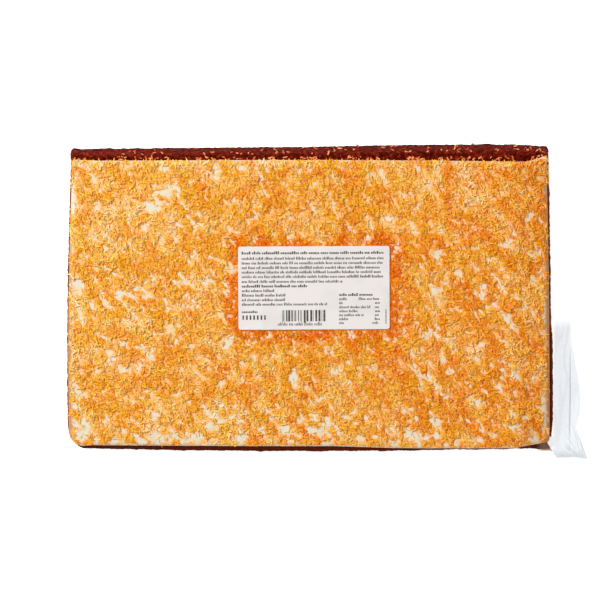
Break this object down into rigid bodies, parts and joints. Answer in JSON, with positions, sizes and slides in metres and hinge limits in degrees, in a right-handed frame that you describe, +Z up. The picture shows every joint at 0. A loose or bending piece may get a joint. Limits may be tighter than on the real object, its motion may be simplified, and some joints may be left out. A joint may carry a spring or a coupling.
{
  "type": "sheet cake",
  "caption": "Rectangular sheet cake: a brown sponge slab under a cream topping strewn with orange coconut shreds, with a paper label and a folded end of clear film.",
  "frame": {"origin": "under the middle of the cake, on the surface that it stands on", "axes": "+Z up, +X along the long side towards the end with the folded film, +Y to the back, which is the top of the picture"},
  "size_m": [0.3485, 0.2159, 0.0397],
  "materials": {
    "sponge": "matte dark red-brown crumb",
    "cream": "soft satin cream with orange coconut",
    "label": "white label paper with grey print",
    "film": "clear wrapping film, milky where folded"
  },
  "bodies": {
    "root": {"sponge": "sponge", "cream_topping": "cream", "label": "label", "film_end": "film"}
  },
  "joints": []
}
